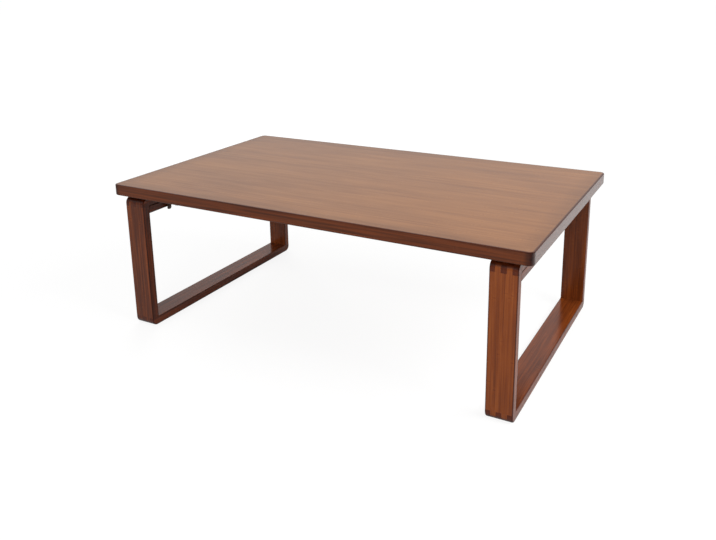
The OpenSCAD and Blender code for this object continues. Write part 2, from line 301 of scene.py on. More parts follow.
class Graph:
    """A node tree that is filled through one method."""

    def __init__(self, tree: bpy.types.NodeTree) -> None:
        """Empties the node tree of a material or a world, and takes it over."""
        self.tree = tree
        tree.nodes.clear()

    def node(
        self,
        kind: str,
        settings: dict[str, Any] | None = None,
        inputs: dict[Any, Any] | None = None,
        output: int = 0,
    ) -> Signal:
        """Adds a node of any kind.

        Args:
            kind: The node's type name.
            settings: Its properties, which are set first; "stops" fills a colour ramp.
            inputs: Values or signals for its sockets, by name or number.
            output: The number of the output that is wanted.

        Returns:
            That output, or the first input of a node that has no outputs.
        """
        made = self.tree.nodes.new(kind)
        for name, value in (settings or {}).items():
            if name == "stops":
                self._set_stops(made.color_ramp, value)
            else:
                setattr(made, name, value)
        for name, value in (inputs or {}).items():
            if isinstance(value, Signal):
                self.tree.links.new(value.socket, made.inputs[name])
            else:
                made.inputs[name].default_value = value
        return Signal(self, made.outputs[output] if made.outputs else made.inputs[0])

    @staticmethod
    def _set_stops(ramp: bpy.types.ColorRamp, stops: Sequence[tuple[float, Colour]]) -> None:
        """Gives a colour ramp its stops.

        Args:
            ramp: The ramp.
            stops: Pairs of a position and a colour, in order.
        """
        while len(ramp.elements) < len(stops):
            ramp.elements.new(1.0)
        for element, (position, colour) in zip(ramp.elements, stops):
            element.position = position
            element.color = (*colour, 1.0)

    def math(self, operation: str, *values: Any) -> Signal:
        """A Math node on numbers or signals."""
        return self.node("ShaderNodeMath", {"operation": operation}, dict(enumerate(values)))

    def mixed(self, share: Any, first: Any, second: Any, blend: str = "MIX") -> Signal:
        """Mixes two colours.

        Args:
            share: How much of the second shows, from 0 to 1.
            first: The first colour.
            second: The second colour.
            blend: The Mix node's blend type.

        Returns:
            The mixed colour.
        """
        settings = {"data_type": "RGBA", "blend_type": blend}
        first, second = (c if isinstance(c, Signal) else (*c, 1.0) for c in (first, second))
        return self.node("ShaderNodeMix", settings, {0: share, 6: first, 7: second}, output=2)

    def multiplied(self, share: Any, colour: Signal, stain: Any) -> Signal:
        """A colour with a share of a stain laid over it."""
        return self.mixed(share, colour, stain, "MULTIPLY")

    def vector(self, x: Any, y: Any, z: Any) -> Signal:
        """A vector from its three parts."""
        return self.node("ShaderNodeCombineXYZ", None, {0: x, 1: y, 2: z})

    def parts(self, vector: Signal) -> tuple[Signal, Signal, Signal]:
        """The three parts of a vector."""
        made = self.node("ShaderNodeSeparateXYZ", None, {0: vector}).socket.node
        return tuple(Signal(self, socket) for socket in made.outputs[:3])

    def length(self, vector: Signal) -> Signal:
        """A vector's length."""
        return self.node("ShaderNodeVectorMath", {"operation": "LENGTH"}, {0: vector}, output=1)

    def place(self) -> Signal:
        """The point in the piece's own coordinates, in metres."""
        return self.node("ShaderNodeTexCoord", output=3)

    def attribute(self, name: str) -> Signal:
        """One of the piece's own stored values."""
        return self.node("ShaderNodeAttribute", {"attribute_name": name}, output=2)

    def noise(self, vector: Signal, scale: float, detail: float = 2.0) -> Signal:
        """Smooth noise about 0.5, with a frequency and a number of finer octaves."""
        values = {"Vector": vector, "Scale": scale, "Detail": detail}
        return self.node("ShaderNodeTexNoise", None, values)

    def grained(self, pattern: Pattern, u: Signal, v: Signal, w: Signal) -> Signal:
        """A pattern at a place along the fibres, across the strips and through the plies."""
        drawn_out = self.vector(u * pattern.along, v * pattern.across, w * pattern.across)
        return self.noise(drawn_out, 1.0, pattern.detail)

    def rays(self) -> tuple[Signal, Signal, Signal]:
        """Which kind of ray arrives.

        Returns:
            Whether it comes straight from the camera, whether it does that or comes
            through a clear piece, and whether a glossy surface sent it.
        """
        outputs = self.node("ShaderNodeLightPath").socket.node.outputs
        names = ("Is Camera Ray", "Is Transmission Ray", "Is Glossy Ray")
        camera, through, glossy = (Signal(self, outputs[name]) for name in names)
        return camera, camera.larger(through), glossy

    def bump(self, height: Signal, strength: float, distance: float) -> Signal:
        """The normal of a surface with a fine relief."""
        values = {"Strength": strength, "Distance": distance, "Height": height}
        return self.node("ShaderNodeBump", None, values)

    def surface(self, **values: Any) -> None:
        """Ends the graph in a Principled shader.

        Args:
            values: Its inputs, with underscores for the spaces in their names.
        """
        inputs = {name.replace("_", " "): value for name, value in values.items()}
        shader = self.node("ShaderNodeBsdfPrincipled", None, inputs)
        self.node("ShaderNodeOutputMaterial", None, {"Surface": shader})


def new_material(name: str) -> tuple[bpy.types.Material, Graph]:
    """Makes an empty material.

    Args:
        name: Its name.

    Returns:
        The material and its graph.
    """
    material = bpy.data.materials.new(name)
    material.use_nodes = True
    return material, Graph(material.node_tree)


def scaled(colour: Colour, factor: float) -> Colour:
    """A colour with its three parts multiplied."""
    return tuple(factor * part for part in colour)


@dataclass(frozen=True)
class BambooFinish:
    """Carbonised bamboo strips glued side by side, under a satin lacquer. Lengths are in
    metres, and the shares say how far a pattern moves the tone between dark and light."""

    name: str
    grain: Grain
    strip: float = 0.0055
    strip_phase: float = 0.37
    strip_drift: float = 0.0016
    strip_shift: float = 5.0
    ply: float = 0.010
    ply_base: float = 0.0
    glue: float = 0.00011
    dark: Colour = (0.088, 0.017, 0.004)
    middle: Colour = (0.250, 0.056, 0.010)
    light: Colour = (0.390, 0.106, 0.020)
    fibre_pattern: Pattern = Pattern(9.0, 1500.0)
    streak_pattern: Pattern = Pattern(9.0, 300.0, 2.0)
    figure_pattern: Pattern = Pattern(7.0, 62.0)
    cloud_pattern: Pattern = Pattern(3.4, 9.0)
    band_pattern: Pattern = Pattern(4.0, 190.0, 2.0)
    strips: float = 0.16
    fibres: float = 0.40
    streaks: float = 0.75
    figure: float = 0.46
    cloud: float = 0.34
    halos: float = 0.07
    marks: float = 0.14
    knuckle_gap: float = 0.29
    bundle_scale: float = 1150.0
    narrow_stain: Colour = (0.46, 0.40, 0.34)
    narrow_band: float = 2.4
    # Painted shade on rounded edges, standing in for the dark they reflect and the shade they turn
    # into; on the eased seams between fingers it is the dark joint line.
    shaded_edge_and_joint_stain: Colour = (0.24, 0.17, 0.15)
    end_stain: Colour = (0.36, 0.20, 0.16)
    end_coat: float = 0.0
    outline: Triple | None = None
    # The outline's colours: a darker band towards the outline, a painted dark line inside the rim,
    # and painted shade on the rounded corners, the last two standing in for the dark that rim and
    # corners reflect.
    outline_shade_line: Colour = (0.32, 0.19, 0.14)
    outline_shade: Colour = (0.79, 0.77, 0.77)
    corner_shade: Colour = (0.40, 0.34, 0.34)
    roughness: float = 0.21

    def material(self) -> bpy.types.Material:
        """Makes the finish.

        Returns:
            The material.
        """
        material, graph = new_material(self.name)
        parts = graph.parts(graph.place())
        length, v, w = (parts[k] for k in self.grain.value)
        drift = graph.noise(graph.vector(length * 2.3, v * 1.5, w * 1.5), 1.0)
        v = v + (drift - 0.5) * self.strip_drift
        strip_at = v * (1 / self.strip) + self.strip_phase
        ply_at = (w - self.ply_base) * (1 / self.ply)
        tone_chance, knuckle_chance, shift_chance = self._chances(strip_at, ply_at)
        glue = self._glue_line(strip_at, self.strip).larger(self._glue_line(ply_at, self.ply))
        knuckle, halo = self._knuckles(length, knuckle_chance)
        u = length + shift_chance * self.strip_shift
        fibre = graph.grained(self.fibre_pattern, u, v, w)
        streak = graph.grained(self.streak_pattern, u, v, w)
        figure = graph.grained(self.figure_pattern, length, v, w)
        cloud = graph.grained(self.cloud_pattern, length, v, w)
        tone = (
            graph.attribute("board_tone")
            + (tone_chance - 0.5) * self.strips
            + (fibre - 0.5) * self.fibres
            + (streak - 0.5) * self.streaks
            + (figure - 0.5) * self.figure
            + (cloud - 0.5) * self.cloud
            + halo * self.halos
            - knuckle * self.marks
            - glue * self.marks
        )
        stops = [(0.12, self.dark), (0.50, self.middle), (0.88, self.light)]
        colour = graph.node("ShaderNodeValToRGB", {"stops": stops}, {"Fac": tone})
        bundles = self._bundles(v, w, strip_at)
        end, narrow = graph.attribute("end_grain"), graph.attribute("narrow")
        colour = graph.multiplied(end * (0.80 + bundles * 0.20), colour, self.end_stain)
        colour = graph.mixed(end * bundles * 0.45, colour, self.dark)
        band = graph.grained(self.band_pattern, length, v, w).ramp(0.32, 0.68)
        pale_stain = scaled(self.narrow_stain, self.narrow_band)
        colour = graph.multiplied(narrow, colour, graph.mixed(band, self.narrow_stain, pale_stain))
        if self.outline:
            colour = self._stained_outline(colour)
        # Painted shade on the rounded edges, and dark joint lines on the eased seams between
        # fingers.
        shaded_edges_and_joints = graph.attribute("rounding").larger(graph.attribute("seam"))
        relief = fibre * 0.5 + bundles * end * 0.9 - glue * 0.8 - knuckle * 0.4
        uneven = self.roughness + (fibre - 0.5) * 0.08 + (cloud - 0.5) * 0.08
        graph.surface(
            Base_Color=graph.multiplied(shaded_edges_and_joints, colour, self.shaded_edge_and_joint_stain),
            Roughness=uneven + end * 0.03 + narrow * 0.10 + shaded_edges_and_joints * 0.14,
            IOR=1.30,
            Coat_Weight=end * self.end_coat,
            Coat_Roughness=0.16,
            Coat_IOR=1.40,
            Normal=graph.bump(relief, 0.6, 0.00006),
        )
        return material

    @staticmethod
    def _chances(strip_at: Signal, ply_at: Signal) -> tuple[Signal, Signal, Signal]:
        """Three chance values from 0 to 1 that are the same all over a strip.

        Args:
            strip_at: The place across, in strips.
            ply_at: The place through the board, in plies.

        Returns:
            The three values.
        """
        graph = strip_at.graph
        values = {"Vector": graph.vector(strip_at.whole(), ply_at.whole(), 3.7)}
        settings = {"noise_dimensions": "3D"}
        return graph.parts(graph.node("ShaderNodeTexWhiteNoise", settings, values, output=1))

    def _glue_line(self, at: Signal, width: float) -> Signal:
        """A thin line where one strip meets the next."""
        return (at.part() - 0.5).size().ramp(0.5 - 2 * (self.glue / width), 0.5)

    def _knuckles(self, u: Signal, phase: Signal) -> tuple[Signal, Signal]:
        """The cane's joints, which each strip has at places of its own.

        Args:
            u: Distance along the fibres.
            phase: The strip's own chance value.

        Returns:
            A joint's thin dark bar, and the pale band round it.
        """
        at = u * (1 / self.knuckle_gap) + phase * 9.7
        away = (at.part() - 0.5).size() * self.knuckle_gap
        return away.ramp(0.0017, 0.0007), away.ramp(0.011, 0.002)

    def _stained_outline(self, colour: Signal) -> Signal:
        """Darkens a panel's face towards its outline, and paints shade: a dark line just inside the
        rounded rim, and darker narrow faces at the rounded corners, both standing in for the dark
        those edges reflect.

        Args:
            colour: The panel's colour.

        Returns:
            The colour with the outline's stain.
        """
        graph = colour.graph
        half_length, half_depth, radius = self.outline
        x, y, _ = graph.parts(graph.place())
        x = x.size() - (half_length - radius)
        y = y.size() - (half_depth - radius)
        beyond = graph.vector(x.larger(0.0), y.larger(0.0), 0.0)
        inside = radius - graph.length(beyond) - x.larger(y).smaller(0.0)
        narrow = graph.attribute("narrow")
        flat = 1.0 - narrow
        # A darker band towards the outline, then painted shade: a dark line inside the rim, and the
        # narrow faces at the corners.
        shade = flat * inside.ramp(0.050, 0.002)
        line = flat * inside.ramp(0.0052, 0.0024)
        corner = narrow * x.ramp(-0.008, 0.003) * y.ramp(-0.008, 0.003)
        colour = graph.multiplied(shade, colour, self.outline_shade)
        colour = graph.multiplied(corner, colour, self.corner_shade)
        return graph.multiplied(line, colour, self.outline_shade_line)

    def _bundles(self, v: Signal, w: Signal, strip_at: Signal) -> Signal:
        """The dots of the fibre bundles on end grain, larger to one side of a strip.

        Args:
            v: Distance across the strips.
            w: Distance through the plies.
            strip_at: The place across, in strips.

        Returns:
            The dots, from 0 to 1.
        """
        at = v.graph.vector(v * self.bundle_scale, w * self.bundle_scale, 0.0)
        cells = v.graph.node("ShaderNodeTexVoronoi", None, {"Vector": at, "Scale": 1.0})
        return (cells - strip_at.part() * 0.16).ramp(0.34, 0.16)


@dataclass(frozen=True)
class SteelFinish:
    """A steel part's surface: browned, or bare and drawn in one direction."""

    name: str
    colour: Colour
    metallic: float
    roughness: float
    drawn: float = 1.0
    line_scale: float = 900.0
    patch_scale: float = 160.0

    def material(self) -> bpy.types.Material:
        """Makes the finish.

        Returns:
            The material.
        """
        material, graph = new_material(self.name)
        scale = self.line_scale
        x, y, z = graph.parts(graph.place())
        lines = graph.noise(graph.vector(x * scale / self.drawn, y * scale, z * scale), 1.0, 3.0)
        patches = graph.noise(graph.place(), self.patch_scale, 3.0)
        bright = tuple(min(1.0, c * 1.5 + 0.01) for c in self.colour)
        share = (patches * 0.6 + lines * 0.4).ramp(0.35, 0.65)
        colour = graph.mixed(share, scaled(self.colour, 0.62), bright)
        graph.surface(
            Base_Color=graph.mixed(graph.attribute("seam") * 0.5, colour, bright),
            Metallic=self.metallic,
            Roughness=self.roughness + (patches - 0.5) * 0.25 + (lines - 0.5) * 0.15,
            Normal=graph.bump(lines * 0.6 + patches * 0.4, 0.5, 0.00004),
        )
        return material


@dataclass(frozen=True)
class RubberFinish:
    """Black moulded rubber with a fine matt skin and a little dust."""

    name: str
    colour: Colour = (0.017, 0.016, 0.015)
    skin_scale: float = 2600.0
    dust_scale: float = 90.0

    def material(self) -> bpy.types.Material:
        """Makes the finish.

        Returns:
            The material.
        """
        material, graph = new_material(self.name)
        skin = graph.noise(graph.place(), self.skin_scale, 2.0)
        dust = graph.noise(graph.place(), self.dust_scale, 3.0).ramp(0.4, 0.75)
        graph.surface(
            Base_Color=graph.mixed(dust * 0.5, self.colour, scaled(self.colour, 3.0)),
            Roughness=0.78 + (skin - 0.5) * 0.2,
            Normal=graph.bump(skin, 0.5, 0.00005),
        )
        return material


# Shapes


class Shape:
    """A form in millimetres that is made and cut with bmesh operators."""

    def __init__(self) -> None:
        """Starts empty."""
        self.bm = bmesh.new()

    @classmethod
    def block(cls, first: Triple, second: Triple) -> "Shape":
        """A rectangular block.

        Args:
            first: One corner.
            second: The corner opposite.

        Returns:
            The block.
        """
        shape = cls()
        low, high = (Vector(corner) for corner in zip(*map(sorted, zip(first, second))))
        matrix = Matrix.Translation((low + high) / 2) @ Matrix.Diagonal((*(high - low), 1.0))
        bmesh.ops.create_cube(shape.bm, size=1.0, matrix=matrix)
        return shape

    @classmethod
    def turned(cls, profile: Sequence[Pair], steps: int) -> "Shape":
        """A round part, turned about Z.

        Args:
            profile: Pairs of a radius and a height, from one end of the axis to the other.
            steps: The number of steps round.

        Returns:
            The round part.
        """
        shape = cls()
        line = [shape.bm.verts.new((radius, 0.0, z)) for radius, z in profile]
        edges = [shape.bm.edges.new(pair) for pair in zip(line, line[1:])]
        bmesh.ops.spin(
            shape.bm,
            geom=[*line, *edges],
            cent=(0, 0, 0),
            axis=(0, 0, 1),
            angle=2 * math.pi,
            steps=steps,
            use_merge=True,
        )
        bmesh.ops.remove_doubles(shape.bm, verts=shape.bm.verts[:], dist=1e-4)
        return shape

    @classmethod
    def strip(cls, first: Triple, second: Triple) -> "Shape":
        """One edge, from which a sheet is drawn out.

        Args:
            first: One end.
            second: The other end.

        Returns:
            The edge.
        """
        shape = cls()
        shape.bm.edges.new([shape.bm.verts.new(first), shape.bm.verts.new(second)])
        return shape

    def edges(self, test: PairTest) -> list[BMEdge]:
        """The edges that pass a test of their two ends."""
        return [e for e in self.bm.edges if test(e.verts[0].co, e.verts[1].co)]

    def faces(self, test: PairTest) -> list[BMFace]:
        """The faces that pass a test of their middle and their normal."""
        return [f for f in self.bm.faces if test(f.calc_center_median(), f.normal)]

    def _bevel(self, parts: list[Any], offset: float, segments: int, affect: str) -> list[BMFace]:
        """Bevels edges, or the corners of a sheet.

        Args:
            parts: The edges, or the corners' points.
            offset: How far the bevel reaches.
            segments: How many steps it has.
            affect: EDGES, or VERTICES for corners.

        Returns:
            The bevel's faces.
        """
        made = bmesh.ops.bevel(
            self.bm,
            geom=parts,
            offset=offset,
            offset_type="OFFSET",
            segments=segments,
            profile=0.5,
            affect=affect,
            material=-1,
        )
        return made["faces"]

    def rounded(self, edges: list[BMEdge], radius: float, segments: int) -> "Shape":
        """Rounds edges in a number of steps."""
        self._bevel(edges, radius, segments, "EDGES")
        return self

    def rounded_corners(self, test: PointTest, radius: float, segments: int) -> "Shape":
        """Rounds the corners of a flat sheet whose place passes a test."""
        self._bevel([v for v in self.bm.verts if test(v.co)], radius, segments, "VERTICES")
        return self

    def eased(self, amount: float, keep: PointTest | None = None) -> "Shape":
        """Takes the sharpness off every sharp edge.

        Args:
            amount: How much comes off.
            keep: Takes a point. An edge stays sharp where this is true of both its ends.

        Returns:
            The shape itself.
        """
        self.bm.normal_update()
        sharp = [
            e
            for e in self.bm.edges
            if e.is_manifold
            and e.calc_face_angle(0.0) > SHARP
            and not (keep and all(keep(v.co) for v in e.verts))
        ]
        seam = self.seam()
        for face in self._bevel(sharp, amount, 1, "EDGES"):
            face[seam] = 1.0
        return self

    def seam(self) -> bmesh.types.BMLayerItem:
        """The stored value that is 1 on the narrow faces of eased edges."""
        layers = self.bm.faces.layers.float
        return layers.get("seam") or layers.new("seam")

    def cut(self, at: Sequence[float], normal: Sequence[float], clear: bool = True) -> None:
        """Cuts the shape by a plane.

        Args:
            at: A point of the plane.
            normal: The side that comes off.
            clear: False to leave both sides.
        """
        bmesh.ops.bisect_plane(
            self.bm,
            geom=[*self.bm.verts, *self.bm.edges, *self.bm.faces],
            dist=1e-5,
            plane_co=at,
            plane_no=normal,
            clear_outer=clear,
        )

    def cut_round(self, centre: Pair, radius: float, start: float, stop: float, steps: int) -> None:
        """Cuts a corner round, seen along Y, by planes that touch a circle.

        Args:
            centre: The circle's middle, in X and Z.
            radius: Its radius.
            start: The first plane's direction in degrees, from X towards Z.
            stop: The last plane's direction.
            steps: How many planes follow the first.
        """
        for k in range(steps + 1):
            turn = math.radians(start + (stop - start) * k / steps)
            away = Vector((math.cos(turn), 0.0, math.sin(turn)))
            self.cut(Vector((centre[0], 0.0, centre[1])) + away * radius, away)

    def drawn(self, edges: list[BMEdge], shift: Triple) -> list[BMEdge]:
        """Draws a sheet out from its edges.

        Args:
            edges: The edges.
            shift: How far they go.

        Returns:
            The sheet's new edges.
        """
        made = bmesh.ops.extrude_edge_only(self.bm, edges=edges)["geom"]
        moved = of_kind(made, BMVert)
        bmesh.ops.translate(self.bm, verts=moved, vec=shift)
        return [e for e in of_kind(made, BMEdge) if all(v in moved for v in e.verts)]

    def bent(self, edge: BMEdge, centre: Triple, axis: Triple, angle: float) -> list[BMEdge]:
        """Bends a sheet round from an edge.

        Args:
            edge: The edge.
            centre: A point of the bend's axis.
            axis: The bend's axis.
            angle: How far it turns, in degrees.

        Returns:
            The sheet's new edge.
        """
        turn = math.radians(angle)
        made = bmesh.ops.spin(self.bm, geom=[edge], cent=centre, axis=axis, angle=turn, steps=6)
        return of_kind(made["geom_last"], BMEdge)

    def face_outwards(self) -> None:
        """Turns the normals of a closed shape outwards, and those of a sheet one way."""
        bmesh.ops.recalc_face_normals(self.bm, faces=self.bm.faces[:])

    def thickened(self, amount: float) -> "Shape":
        """Gives a sheet its thickness, to the side away from its normals."""
        bmesh.ops.solidify(self.bm, geom=self.bm.faces[:], thickness=amount)
        return self

    def placed(self, matrix: Matrix) -> "Shape":
        """Moves and turns the whole shape."""
        bmesh.ops.transform(self.bm, matrix=matrix, verts=self.bm.verts[:])
        return self

    def take(self, other: "Shape") -> None:
        """Takes another shape into this one.

        Args:
            other: The other shape, which is used up.
        """
        passing = bpy.data.meshes.new("passing")
        other.bm.to_mesh(passing)
        other.bm.free()
        self.bm.from_mesh(passing)
        bpy.data.meshes.remove(passing)

    def _store_values(self, board: Board) -> None:
        """Stores on every face the board's tone, and at every corner of a face how far the
        surface there faces along the fibres, is a narrow face, and is round an edge.

        Args:
            board: How the board was cut.
        """
        self.seam()
        tone = self.bm.faces.layers.float.new("board_tone")
        layers = self.bm.loops.layers.float
        end_grain, narrow, rounding = (layers.new(n) for n in ("end_grain", "narrow", "rounding"))
        areas = {face: face.calc_area() for face in self.bm.faces}
        for face in self.bm.faces:
            face[tone] = board.tone
            for corner in face.loops:
                n = Vector()
                for other in corner.vert.link_faces:
                    if other.normal.angle(face.normal, 0.0) < SHARP:
                        n += other.normal * areas[other]
                n.normalize()
                across = math.hypot(*(n[axis] for axis in board.narrow))
                corner[end_grain] = smooth_step(*ENDWISE, abs(n[board.grain.value[0]]))
                corner[narrow] = smooth_step(*SIDEWISE, across)
                corner[rounding] = smooth_step(*TURNING, 1 - max(abs(c) for c in n))

    def piece(
        self, name: str, body: str, nodes: Sequence[str], dress: Dress, board: Board | None = None
    ) -> None:
        """Makes the shape a finished piece in the CAD frame.

        Args:
            name: The piece's name.
            body: The body that it rides on.
            nodes: The CAD nodes that it stands for.
            dress: Its finish and its slot.
            board: How it was cut, on bamboo.
        """
        self.face_outwards()
        bmesh.ops.scale(self.bm, vec=(MM, MM, MM), verts=self.bm.verts[:])
        self.bm.normal_update()
        if board:
            self._store_values(board)
        for face in self.bm.faces:
            face.smooth = True
        for edge in self.bm.edges:
            edge.smooth = edge.is_manifold and edge.calc_face_angle(0.0) < SHARP
        count, closed = len(self.bm.faces), all(edge.is_manifold for edge in self.bm.edges)
        material, slot = dress
        made = mesh_object(name, self.bm, material)
        weighting = made.modifiers.new("flat_faces_stay_flat", "WEIGHTED_NORMAL")
        weighting.keep_sharp = True
        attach(made, body)
        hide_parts(*nodes)
        LOG.info("%s: %d faces, closed %s, on %s", name, count, closed, body)


def mesh_object(
    name: str, bm: bmesh.types.BMesh, material: bpy.types.Material
) -> bpy.types.Object:
    """Makes a mesh object in the scene.

    Args:
        name: The name of the mesh and the object.
        bm: Its form, which is used up.
        material: Its finish.

    Returns:
        The object.
    """
    mesh = bpy.data.meshes.new(name)
    bm.to_mesh(mesh)
    bm.free()
    mesh.materials.append(material)
    return added(name, mesh)


def added(name: str, data: bpy.types.ID) -> bpy.types.Object:
    """Puts a mesh, a lamp or a camera into the scene.

    Args:
        name: The object's name.
        data: The mesh, lamp or camera.

    Returns:
        The object.
    """
    made = bpy.data.objects.new(name, data)
    bpy.context.scene.collection.objects.link(made)
    return made


def of_kind(parts: Iterable[Any], kind: type) -> list[Any]:
    """The points, edges or faces among what an operator made."""
    return [part for part in parts if isinstance(part, kind)]


def smooth_step(start: float, stop: float, value: float) -> float:
    """A smooth step from 0 at start to 1 at stop."""
    t = min(1.0, max(0.0, (value - start) / (stop - start)))
    return t * t * (3 - 2 * t)


def near(value: float, *wanted: float) -> bool:
    """Whether a length is one of those wanted."""
    return any(abs(value - w) < 1e-3 for w in wanted)


# The table's parts


@dataclass(frozen=True)
class Tabletop:
    """The laminated panel."""

    sizes: TableSizes
    bamboo: Dress
    corner_steps: int = 10
    edge_steps: int = 6

    def build(self) -> None:
        """Makes the panel."""
        s = self.sizes
        x, y = s.length / 2, s.depth / 2
        panel = Shape.block((-x, -y, s.underside), (x, y, s.height))
        uprights = panel.edges(lambda a, b: not near(a.z, b.z))
        panel.rounded(uprights, s.top_corner, self.corner_steps)
        rim = panel.edges(lambda a, b: near(a.z, b.z) and near(a.z, s.underside, s.height))
        panel.rounded(rim, s.top_edge, self.edge_steps)
        board = Board(Grain.LENGTH, (0, 1))
        panel.piece("tabletop_panel", TOP_BODY, ["tabletop"], self.bamboo, board)


@dataclass(frozen=True)
class LegLoop:
    """Four finger-jointed boards and the stiffening board below the top rail."""

    side: Side
    sizes: TableSizes
    leg_bamboo: Dress
    rail_bamboo: Dress
    tones: LoopTones
    easing: float = 0.16
    corner_steps: int = 10
    outer_steps: int = 5
    inner_steps: int = 4

    @property
    def span(self) -> Pair:
        """The loop's lowest and highest X."""
        s = self.sizes
        return tuple(sorted((self.side.value * s.loop_inner, self.side.value * s.loop_outer)))

    def build(self) -> None:
        """Makes the loop's boards."""
        tones = self.tones
        for end, tone in ((End.FRONT, tones.front_leg), (End.BACK, tones.back_leg)):
            board = Board(Grain.HEIGHT, tone=tone)
            self._piece(self._leg(end), f"{end.label}_leg", self.leg_bamboo, board)
        for level in Level:
            board = Board(Grain.DEPTH, tone=tones.rails - 0.02 * level.value)
            self._piece(self._rail(level), f"{level.label}_rail", self.rail_bamboo, board)
        board = Board(Grain.DEPTH, tone=tones.rails - 0.06)
        self._piece(self._stiffener(), "stiffener", self.rail_bamboo, board)

    def _piece(self, shape: Shape, part: str, bamboo: Dress, board: Board) -> None:
        """Makes a board of the loop a piece on the loop's body."""
        node = f"{self.side.label}_{part}"
        shape.piece(f"{node}_board", self.side.loop, [node], bamboo, board)

    def _leg(self, end: End) -> Shape:
        """An upright board with the fingers of its two ends.

        Args:
            end: The front or the back.

        Returns:
            The leg.
        """
        outer, inner = self.sizes.leg_faces(end)
        low, high = (self.sizes.rail_faces(level)[1] for level in Level)
        faces = (lambda p: near(p.y, outer), lambda p: near(p.y, inner))
        leg = self._board((outer, low), (inner, high), faces)
        for level, root in zip(Level, (low, high)):
            self._add_fingers(leg, 1, end, level, lambda p: near(p.z, root))
        return leg

    def _rail(self, level: Level) -> Shape:
        """A lying board with the fingers of its two ends.

        Args:
            level: The lower or the upper rail.

        Returns:
            The rail.
        """
        outer, inner = self.sizes.rail_faces(level)
        front, back = (self.sizes.leg_faces(end)[1] for end in End)
        faces = (lambda p: near(p.z, outer), lambda p: near(p.z, inner))
        rail = self._board((front, outer), (back, inner), faces)
        for end, root in zip(End, (front, back)):
            self._add_fingers(rail, 0, end, level, lambda p: near(p.y, root))
        return rail

    def _board(self, first: Pair, second: Pair, faces: tuple[PointTest, PointTest]) -> Shape:
        """A board with rounded long edges, more on its outer face than on its inner one.

        Args:
            first: The Y and Z of one corner.
            second: The Y and Z of the corner opposite.
            faces: Tests of a point, true on the outer face and on the inner face.

        Returns:
            The board.
        """
        s = self.sizes
        x0, x1 = self.span
        board = Shape.block((x0, *first), (x1, *second))
        roundings = (s.outer_edge, self.outer_steps), (s.inner_edge, self.inner_steps)
        for on_face, rounding in zip(faces, roundings):
            edges = board.edges(
                lambda a, b: on_face(a) and on_face(b) and (a - b).length > LONG_EDGE
            )
            board.rounded(edges, *rounding)
        return board

    def _add_fingers(
        self, board: Shape, first: int, end: End, level: Level, root: PointTest
    ) -> None:
        """Joins a board's fingers in one of the loop's corners to it.

        Args:
            board: The board.
            first: The number of its first finger, after which every second is its own.
            end: The corner's end.
            level: The corner's level.
            root: Takes a point, and is true where the fingers meet the board.
        """
        s = self.sizes
        outer, inner = zip(s.leg_faces(end), s.rail_faces(level))
        for number in range(first, s.fingers, 2):
            x = self.span[0] + number * s.finger
            finger = Shape.block((x, *outer), (x + s.finger, *inner))
            finger.rounded(finger.edges(self._at_corner), s.loop_corner, self.corner_steps)
            if number in (0, s.fingers - 1):
                face = self.span[0] if number == 0 else self.span[1]
                rim = finger.edges(lambda a, b: self._on_rim(a, face) and self._on_rim(b, face))
                finger.rounded(rim, s.outer_edge, self.outer_steps)
            board.take(finger.eased(self.easing, root))

    def _at_corner(self, a: Vector, b: Vector) -> bool:
        """Whether an edge's two ends are both on the loop's sharp outer corner."""
        s = self.sizes
        return all(near(abs(p.y), s.loop_half) and near(p.z, 0.0, s.loop_height) for p in (a, b))

    def _on_rim(self, p: Vector, face: float) -> bool:
        """Whether a point is on the loop's rounded outline, on one of its two faces.

        Args:
            p: The point.
            face: The face's X.

        Returns:
            True where it is.
        """
        s = self.sizes
        dy = abs(p.y) - (s.loop_half - s.loop_corner)
        dz = abs(p.z - s.loop_height / 2) - (s.loop_height / 2 - s.loop_corner)
        reach = math.hypot(dy, dz) if min(dy, dz) > 0 else max(dy, dz)
        return near(p.x, face) and abs(reach - s.loop_corner) < 0.02

    def _stiffener(self) -> Shape:
        """The board glued below the top rail, between the legs.

        Returns:
            The board.
        """
        s = self.sizes
        x0, x1 = self.span
        high = s.loop_height - s.board
        board = Shape.block((x0, -s.window_half, high - s.stiffener), (x1, s.window_half, high))
        long_edges = board.edges(lambda a, b: (a - b).length > LONG_EDGE)
        return board.rounded(long_edges, s.inner_edge, self.inner_steps)


@dataclass(frozen=True)
class BracketSizes:
    """The folding brackets' sizes in millimetres, in the bracket's own frame: X in from
    the pivot, Y along the pin, Z up. The spring's nose is pairs of an X and a rise."""

    sheet: float = 2.0
    bend: float = 3.0
    web: float = 10.0
    seat: float = -9.0
    boss: float = 8.5
    boss_slope: float = 2.0
    boss_steps: int = 12
    pin: float = 2.5
    pin_head: float = 4.5
    clearance: float = 0.05
    catch_flat: float = 4.5
    ear_out: float = 16.0
    cheek_out: float = 18.4
    cheek_end: float = 30.0
    relief: float = 1.5
    tab_end: float = 53.0
    tab_half: float = 30.0
    tab_corner: float = 4.0
    ear_bottom: float = -37.0
    leaf_bottom: float = -30.0
    ear_corner: float = 8.0
    flat_corner: float = 1.5
    easing: float = 0.3
    spring: float = 1.0
    spring_nose: tuple[Pair, ...] = ((-6.5, 1.2), (-4.5, 0.24), (-3.5, 0.0), (6.0, 0.0))
    spring_tail: float = 8.0
    spring_corner: float = 2.0
    spring_easing: float = 0.12
    base_screws: tuple[Pair, ...] = (
        (35.0, -24.2),
        (35.0, 24.2),
        (47.0, -24.2),
        (47.0, 24.2),
        (44.0, 0.0),
    )
    leaf_screws: tuple[Pair, ...] = ((-7.0, -7.5), (-7.0, -23.0), (7.0, -7.5), (7.0, -23.0))
    rivets: tuple[Pair, ...] = ((26.0, -4.5), (26.0, 4.5))

    @property
    def web_face(self) -> float:
        """Height of the web's lower face."""
        return self.web - self.sheet

    @property
    def tail_face(self) -> float:
        """Height of the lower face of the catch strip's tail."""
        return self.web_face - self.spring


